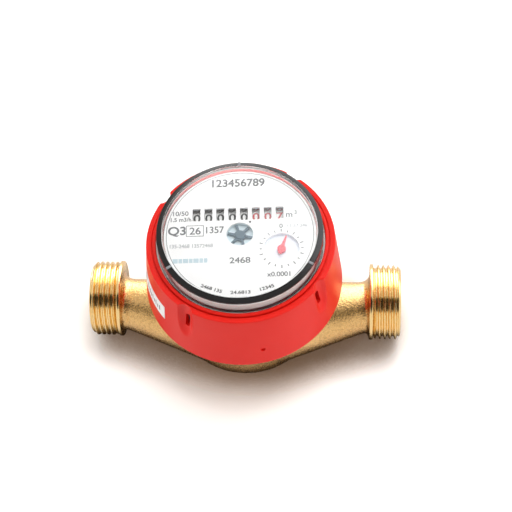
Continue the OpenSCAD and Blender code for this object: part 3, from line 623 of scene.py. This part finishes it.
def lettering(words, size, width, bold):
    """Plain lettering as a flat mesh with its middle on the origin, widened and thickened by this."""
    bpy.ops.object.select_all(action="DESELECT")
    bpy.ops.object.text_add()
    piece = bpy.context.object
    piece.data.body = words
    piece.data.size = size
    piece.data.bevel_depth = bold
    piece.data.bevel_resolution = 0
    piece.data.align_x = "CENTER"
    piece.data.align_y = "CENTER"
    bpy.ops.object.convert(target="MESH")
    piece = bpy.context.object
    low = [min(v.co[i] for v in piece.data.vertices) for i in range(3)]
    high = [max(v.co[i] for v in piece.data.vertices) for i in range(3)]
    middle = Vector((low[i] + high[i]) / 2 for i in range(3))
    flat = ink_thickness / (high[2] - low[2])
    piece.data.transform(Matrix.Diagonal((width, 1, flat, 1)) @ Matrix.Translation(-middle))
    return piece


def figure_band(name, middle_x, shown):
    """Ten figures wrapped round a roller, with the shown one on top."""
    figures = []
    for figure in range(10):
        piece = lettering(str(figure), figure_size, figure_width, figure_bold)
        pick(piece)
        bpy.ops.object.mode_set(mode="EDIT")
        for cut in range(-3, 4):
            bpy.ops.mesh.select_all(action="SELECT")
            bpy.ops.mesh.bisect(plane_co=(0, cut * cut_step, 0), plane_no=(0, 1, 0))
        bpy.ops.object.mode_set(mode="OBJECT")
        start = figure_step * (shown - figure)
        for vertex in piece.data.vertices:
            angle = start + vertex.co.y / roller_radius
            radius = roller_radius + ink_lift + vertex.co.z
            across, up = radius * math.sin(angle), radius * math.cos(angle)
            vertex.co = (middle_x + vertex.co.x, row_middle.y + across, row_middle.z + up)
        figures.append(piece)
    band = joined(name, figures)
    band.data.transform(Matrix.Rotation(dial_turn, 4, "Z"))
    return band


for k, shown in enumerate(reading, 1):
    dress(roller_white, f"roller_{k}")
    band = figure_band(f"figures_{k}", row_middle.x + (k - 4.5) * roller_pitch, shown)
    band.data.materials.append((black_ink if k <= whole_figures else red_ink).owner)
    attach(band, f"roller_{k}")


# Dial plate and its print
# A thin white plate with windows for the rollers and two sunk wells, for the flow star and the pointer.
# It is screen printed: figures, a ring line, a divided circle and a row of plain bars.
dial_height = 60 * mm
pointer_place = Vector((13.817 * mm, -6.185 * mm, 0))
well_sink = 0.5 * mm
star_well_paint = 4.7 * mm
tick_radius = 6.5 * mm
tick_length = 0.8 * mm
tick_width = 0.34 * mm
tick_count = 20
long_tick = 1.5
ring_line_inner, ring_line_outer = 24.55 * mm, 24.75 * mm
ring_line_top = 60.02 * mm
word_gap = 0.45

dial_white = Finish("dial_white", {})
fine = dial_white.noise(0.3 * mm, 2)
well = dial_white.along("Z") < dial_height - well_sink
dial_x, dial_y = dial_white.along("X"), dial_white.along("Y")
near_star = (dial_x * dial_x + dial_y * dial_y) < star_well_paint**2
# Every part of the plate more than half a millimetre below its face is painted darker and bluer: painted shade
# in the wells and windows. The star's well is painted darker and bluer still.
paint = dial_white.mix(well, (0.80, 0.805, 0.81, 1), (0.74, 0.79, 0.86, 1))
paint = dial_white.mix(well * near_star, paint, (0.64, 0.75, 0.80, 1))
dial_white.feed({"Base Color": paint, "Roughness": 0.42 + 0.1 * fine})
dial_white.emboss(fine, 0.006 * mm)
dress(dial_white, "dial_plate")


def bar(left, right, height, thick):
    """A flat printed bar between two places across the dial."""
    bpy.ops.object.select_all(action="DESELECT")
    bpy.ops.mesh.primitive_cube_add(size=1)
    piece = bpy.context.object
    size = Matrix.Diagonal((right - left, thick, ink_thickness, 1))
    piece.data.transform(Matrix.Translation(((left + right) / 2, height, 0)) @ size)
    return piece


def dial_text(words, size, x, y, width=1, bold=0.05, turn=0):
    """Print at its place on the dial: sizes and places in millimetres, the turn in degrees."""
    piece = lettering(words, size * mm, width, bold * mm)
    turned = Matrix.Rotation(math.radians(turn), 4, "Z")
    piece.data.transform(Matrix.Translation((x * mm, y * mm, 0)) @ turned)
    return piece


def printed(name, parts, finish):
    """Joins print, lays it on the dial and lets it ride on the register."""
    piece = joined(name, parts)
    lift = Matrix.Translation((0, 0, dial_height + ink_lift))
    piece.data.transform(Matrix.Rotation(dial_turn, 4, "Z") @ lift)
    piece.data.materials.append(finish.owner)
    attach(piece, "register")


def broken_line(left, right, height, thick, lengths):
    """A row of plain bars of these lengths, with gaps between them, in millimetres."""
    unit = (right - left) / (sum(lengths) + word_gap * (len(lengths) - 1))
    parts, start = [], left
    for length in lengths:
        parts.append(bar(start * mm, (start + length * unit) * mm, height * mm, thick * mm))
        start += (length + word_gap) * unit
    return parts


grey_ink = moulding("grey_ink", (0.13, 0.14, 0.15, 1), (0.10, 0.11, 0.12, 1), 0.45, 0.004 * mm)
pale_ink = moulding("pale_ink", (0.40, 0.42, 0.44, 1), (0.36, 0.38, 0.40, 1), 0.45, 0.004 * mm)
blue_ink = moulding("blue_ink", (0.46, 0.58, 0.63, 1), (0.42, 0.54, 0.60, 1), 0.45, 0.004 * mm)
dark_print = [
    dial_text("123456789", 4.3, -0.43, 20.7, 0.97, 0.1),
    dial_text(".", 5, 3.42, 4.7, 1, 0.1),
    dial_text("2468 135", 1.7, -9.4, -20.9, 1.16, turn=-20.8),
    dial_text("24.6813", 1.7, 0.1, -22.6, 1.23),
    dial_text("12345", 1.7, 8.8, -21.1, 1.23, turn=17),
]
grey_print = [
    dial_text("10/50", 2.5, -19.9, 8.8),
    dial_text("1.5 m3/h", 2.2, -19.8, 6.35, 0.95),
    dial_text("Q3", 4.6, -21.1, 1.6, 1.05, 0.1),
]
box_lines = [(-18, -12.1, -0.4, 0.22), (-18, -12.1, 3.8, 0.22)]
box_lines += [(-18, -17.8, 1.7, 4.4), (-12.3, -12.1, 1.7, 4.4)]
grey_print += [bar(*(side * mm for side in sides)) for sides in box_lines]
grey_print += [dial_text("26", 3.9, -15, 1.7), dial_text("1357", 3.7, -8.3, 1.9, 0.9)]
for index in range(tick_count):
    length = tick_length * (long_tick if index % 2 == 0 else 1)
    tick = bar(tick_radius, tick_radius + length, 0, tick_width)
    tick.data.transform(Matrix.Rotation(math.radians(90 - 360 / tick_count * index), 4, "Z"))
    tick.data.transform(Matrix.Translation(pointer_place))
    grey_print.append(tick)
grey_print += [
    dial_text("0", 2.4, 13.8, 2.7),
    dial_text("x0.0001", 2.5, 12.7, -16.1),
    dial_text("2468", 3.2, 0, -10.3, 1.1),
    dial_text("m", 3.2, 16.6, 6.9),
    dial_text("3", 2, 18.8, 8),
]
pale_print = [
    dial_text("135-2468 13572468", 2, -16.2, -4.2, 0.91),
    dial_text("13-57 246", 1.7, 19.3, 2.7),
]
blue_print = broken_line(-22.4, -10.8, -10, 1.7, [3, 2, 3, 2, 3, 2, 2])
printed("dial_print_dark", dark_print, black_ink)
printed("dial_print_grey", grey_print, grey_ink)
printed("dial_print_pale", pale_print, pale_ink)
printed("dial_print_blue", blue_print, blue_ink)

ring_line = hoop("dial_ring_line", ring_line_inner, ring_line_outer, dial_height, ring_line_top)
ring_line.data.materials.append(grey_ink.owner)
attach(ring_line, "register")


# Flow star and pointer
# The star sits on the spindle and turns with the smallest flow; the pointer sits on its wheel's arbor.
# Both are small mouldings with rounded edges, and the star has a raised hub.
hub_radius, hub_top = 1.5 * mm, 59.7 * mm
hub_foot_radius, hub_foot = 1.7 * mm, 59.22 * mm
hub_rounding = 0.15 * mm
star_rounding = 0.12 * mm
pointer_rounding = 0.1 * mm
star_blue = moulding("star_blue", (0.13, 0.19, 0.23, 1), (0.10, 0.15, 0.19, 1), 0.4, 0.004 * mm)
pointer_red = moulding("pointer_red", (0.78, 0.13, 0.16, 1), (0.70, 0.10, 0.13, 1), 0.35, 0.004 * mm)


def rounded_copy(node, name, body, finish, width):
    """A copy of a CAD node with rounded edges that stands for it."""
    piece = copy_of(node, name)
    modify(piece, "DECIMATE", decimate_type="DISSOLVE", angle_limit=math.radians(2))
    modify(piece, "BEVEL", width=width, segments=3, limit_method="ANGLE", angle_limit=math.radians(40))
    smooth(piece)
    piece.data.materials.append(finish.owner)
    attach(piece, body)
    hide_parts(node)


rounded_copy("star_indicator", "flow_star", "spindle", star_blue, star_rounding)
hub_edge = (hub_radius, hub_top)
hub_outline = [(0, hub_top), hub_edge, (hub_foot_radius, hub_foot), (0, hub_foot)]
star_hub = lathe("star_hub", hub_outline, 48, [(hub_rounding, [hub_edge])], open_ended=True)
smooth(star_hub)
star_hub.data.materials.append(star_blue.owner)
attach(star_hub, "spindle")
rounded_copy("pointer", "red_pointer", "pointer", pointer_red, pointer_rounding)


# Lens, its seal and its lugs
# A clear moulded cap that is welded to the case over a rubber seal. Its flat crown stands proud of a shelf
# for the bezel, and three frosted lugs hold the bezel down.
lens_foot = 55 * mm
lens_radius, shelf = 28 * mm, 62 * mm
crown_radius, crown_top = 26.2 * mm, 63.5 * mm
rim_radius, rim_top = 29.4 * mm, 56.3 * mm
hollow_radius, hollow_top = 25.9 * mm, 61.3 * mm
lens_steps = 240
skirt_inner, skirt_outer = 25.62 * mm, 25.88 * mm
skirt_foot, skirt_top = 55.05 * mm, 56.4 * mm
lug_size = Vector((1.7 * mm, 0.9 * mm, 0.62 * mm))
lug_radius, lug_height = 27.1 * mm, 62.8 * mm
lug_rounding = 0.15 * mm

crown_edge, shelf_edge = (crown_radius, crown_top), (lens_radius, shelf)
rim_edge, hollow_edge = (rim_radius, rim_top), (hollow_radius, hollow_top)
lens_outline = [(0, crown_top), crown_edge, (crown_radius, shelf), shelf_edge, (lens_radius, rim_top), rim_edge]
lens_outline += [(rim_radius, lens_foot), (hollow_radius, lens_foot), hollow_edge, (0, hollow_top)]
lens_rounds = [(0.3 * mm, [crown_edge]), (0.15 * mm, [shelf_edge, rim_edge]), (0.4 * mm, [hollow_edge])]
lens = lathe("clear_lens", lens_outline, lens_steps, lens_rounds, open_ended=True)
smooth(lens, 40)
clear = Finish("clear_lens", {"Transmission Weight": 1, "IOR": 1.49, "Roughness": 0.01})
clear.feed({"Base Color": (0.985, 0.99, 0.99, 1)})
shadow_ray = clear.add("ShaderNodeLightPath", output="Is Shadow Ray")
bright = clear.add("ShaderNodeBsdfTransparent")
output = clear.tree.nodes["Material Output"]
solid = Value(clear, clear.shader.outputs[0])
clear.plug(output.inputs[0], clear.add("ShaderNodeMixShader", None, {0: shadow_ray, 1: solid, 2: bright}))
lens.data.materials.append(clear.owner)
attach(lens, "register")
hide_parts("lens")
dress(seal_rubber, "lens_seal")

# Painted shade: a black hoop low behind the lens wall, so that the wall's lower part shows a dark band.
shade_skirt = hoop("shade_skirt", skirt_inner, skirt_outer, skirt_foot, skirt_top)
smooth(shade_skirt)
shade_skirt.data.materials.append(seal_rubber.owner)
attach(shade_skirt, "register")

lugs = []
for third in range(3):
    bpy.ops.object.select_all(action="DESELECT")
    bpy.ops.mesh.primitive_cube_add(size=1)
    lugs.append(bpy.context.object)
    stand = Matrix.Translation((lug_radius, 0, lug_height))
    lugs[-1].data.transform(stand @ Matrix.Diagonal((*lug_size, 1)))
    lugs[-1].data.transform(Matrix.Rotation(dial_turn + math.radians(90 + 120 * third), 4, "Z"))
lens_lugs = joined("lens_lugs", lugs)
modify(lens_lugs, "BEVEL", width=lug_rounding, segments=3)
smooth(lens_lugs)
frosted = moulding("frosted", (0.28, 0.29, 0.31, 1), (0.24, 0.25, 0.27, 1), 0.25, 0.01 * mm)
lens_lugs.data.materials.append(frosted.owner)
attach(lens_lugs, "register")
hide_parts("lens")


# Bezel ring
# A ring moulded in glossy black plastic, with a sloping top. It lies on the lens's shelf round the crown,
# and the lens's three lugs stand through it.
bezel_inner, bezel_outer = 26.24 * mm, 27.98 * mm
bezel_foot, bezel_side, bezel_top = 62.04 * mm, 62.72 * mm, 63.1 * mm
bezel_rounding = 0.16 * mm
bezel_edges = [(bezel_outer, bezel_side), (bezel_inner, bezel_top)]
bezel_outline = [(bezel_inner, bezel_foot), (bezel_outer, bezel_foot), *bezel_edges]
bezel = lathe("black_bezel", bezel_outline, lens_steps, [(bezel_rounding, bezel_edges)])
smooth(bezel, 40)
black_gloss = moulding("black_gloss", (0.010, 0.010, 0.011, 1), (0.006, 0.006, 0.007, 1), 0.10, 0.002 * mm)
black_gloss.feed({"Specular IOR Level": 0.3})
bezel.data.materials.append(black_gloss.owner)
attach(bezel, "register")
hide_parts("bezel_ring")


# Table, light and camera
# The meter stands on a white table under a large soft lamp, above it and to the right at the back.
# Two weaker soft lamps stand low at its sides, and the room has a bright back and a dark front.
table_size = 8
shade_reach = 22 * mm
mirror_shade = 0.2
fade_start, fade_end = 0.22, 0.5

bpy.ops.object.select_all(action="DESELECT")
bpy.ops.mesh.primitive_plane_add(size=table_size)
table = bpy.context.object
table.name = "table"
white_table = Finish("white_table", {"Base Color": (0.80, 0.80, 0.80, 1), "Roughness": 0.9})
white_table.feed({"Specular IOR Level": 0})
table.data.materials.append(white_table.owner)


def seen_rays(graph):
    """1 for the rays by which the camera sees a thing: straight, in a mirror, or through glass. A ray that
    has already met a matt surface and then passes glass brings light, so it doesn't count."""
    straight = graph.add("ShaderNodeLightPath", output="Is Camera Ray")
    path = straight.socket.node.outputs
    in_mirror, through = Value(graph, path["Is Glossy Ray"]), Value(graph, path["Is Transmission Ray"])
    return straight, in_mirror, through * (Value(graph, path["Diffuse Depth"]) < 0.5)


straight, in_mirror, through = seen_rays(white_table)
# The table's colour is painted shade: brown-grey where ambient occlusion finds the meter close by, fading to
# white further out. Seen in reflections, this painted shadow is darker still and near black close to the meter,
# and the far table is dimmer.
open_air = white_table.add("ShaderNodeAmbientOcclusion", {"samples": 8}, {"Distance": shade_reach}, "AO")
open_air = open_air - mirror_shade * in_mirror
far = white_table.mix(in_mirror, (0.72, 0.70, 0.69, 1), (0.50, 0.47, 0.44, 1))
near = white_table.mix(in_mirror, (0.20, 0.14, 0.10, 1), (0.03, 0.02, 0.012, 1))
painted_shadow_tint = white_table.mix(white_table.rise(open_air, 0.42, 0.86), near, far)
painted_shadow_paper = white_table.add("ShaderNodeBsdfDiffuse", None, {"Color": painted_shadow_tint})
exposed = white_table.add("ShaderNodeAddShader", None, {0: painted_shadow_paper, 1: painted_shadow_paper})
lit = Value(white_table, white_table.shader.outputs[0])
far_out = white_table.add("ShaderNodeVectorMath", {"operation": "LENGTH"}, {0: white_table.place}, "Value")
backdrop = white_table.add("ShaderNodeEmission", None, {"Color": (1, 1, 1, 1), "Strength": 1})
fade = white_table.rise(far_out, fade_start, fade_end)
exposed = white_table.add("ShaderNodeMixShader", None, {0: fade, 1: exposed, 2: backdrop})
seen = white_table.add("ShaderNodeMixShader", None, {0: straight + in_mirror + through, 1: lit, 2: exposed})
white_table.plug(white_table.tree.nodes["Material Output"].inputs[0], seen)

room = Graph(bpy.data.worlds.new("room"))
bpy.context.scene.world = room.owner
room.owner.cycles.sampling_method = "NONE"
direction = room.add("ShaderNodeTexCoord", output=0)
x, y, z = (room.add("ShaderNodeSeparateXYZ", None, {0: direction}, axis) for axis in range(3))
back_wall = room.rise(y, 0.20, 0.45) * room.rise(x, -0.45, -0.15)
back_wall = back_wall * room.rise(z, 0.80, 0.70) * room.rise(z, 0, 0.15)
window = room.rise(y, 0.10, 0.40) * room.rise(x, -0.10, 0.04)
window = window * room.rise(z, 0.95, 0.84) * room.rise(z, 0, 0.15)
ceiling = room.rise(z, 0.80, 0.93)
dark_front = room.rise(y, -0.23, -0.29) * room.rise(z, 0.42, 0.47)
reflected = room.mix(ceiling, (0.95, 0.88, 0.80, 1), (0.80, 0.74, 0.68, 1))
reflected = room.mix(dark_front, reflected, (0.03, 0.028, 0.026, 1))
reflected = room.mix(back_wall, reflected, (6, 6, 6, 1))
reflected = room.mix(window, reflected, (4, 4, 4, 1))
straight, in_mirror, through = seen_rays(room)
shade = room.mix(in_mirror, (0.26, 0.26, 0.26, 1), reflected)
shade = room.mix(straight + through, shade, (1, 1, 1, 1))
room.plug(room.tree.nodes["Background"].inputs["Color"], shade)

aim = Vector((4.8, 0, 46.96)) * mm


def soft_lamp(name, azimuth, elevation, distance, size, power):
    """A square soft lamp that points at the meter. Azimuth 0 is behind it, towards +Y."""
    a, e = math.radians(azimuth), math.radians(elevation)
    away = Vector((math.sin(a) * math.cos(e), math.cos(a) * math.cos(e), math.sin(e)))
    bpy.ops.object.select_all(action="DESELECT")
    bpy.ops.object.light_add(type="AREA", location=aim + away * distance)
    lamp = bpy.context.object
    lamp.name = name
    lamp.rotation_euler = away.to_track_quat("Z", "Y").to_euler()
    lamp.data.shape = "SQUARE"
    lamp.data.size = size
    lamp.data.energy = power
    lamp.visible_glossy = False
    lamp.visible_transmission = False


soft_lamp("softbox", 40, 75, 0.8, 0.5, 3.7)
soft_lamp("right_fill", 118, 18, 0.8, 0.5, 3.3)
soft_lamp("left_fill", 255, 18, 0.8, 0.5, 3.1)

azimuth, elevation, roll = (math.radians(d) for d in (6.58, 57.95, 4.84))
camera_distance = 528.14 * mm
level = math.cos(elevation)
backwards = Vector((math.sin(azimuth) * level, -math.cos(azimuth) * level, math.sin(elevation)))
right = Vector((math.cos(azimuth), math.sin(azimuth), 0))
up = backwards.cross(right)
sideways = math.cos(roll) * right - math.sin(roll) * up
upright = math.sin(roll) * right + math.cos(roll) * up
turned = Matrix((sideways, upright, backwards)).transposed().to_4x4()
bpy.ops.object.camera_add()
camera = bpy.context.object
camera.matrix_world = Matrix.Translation(aim + backwards * camera_distance) @ turned
camera.data.lens = 108.41
camera.data.sensor_width = 36
camera.data.clip_start = 0.01
bpy.context.scene.camera = camera
bpy.context.scene.view_settings.view_transform = "Standard"

bpy.context.view_layer.update()
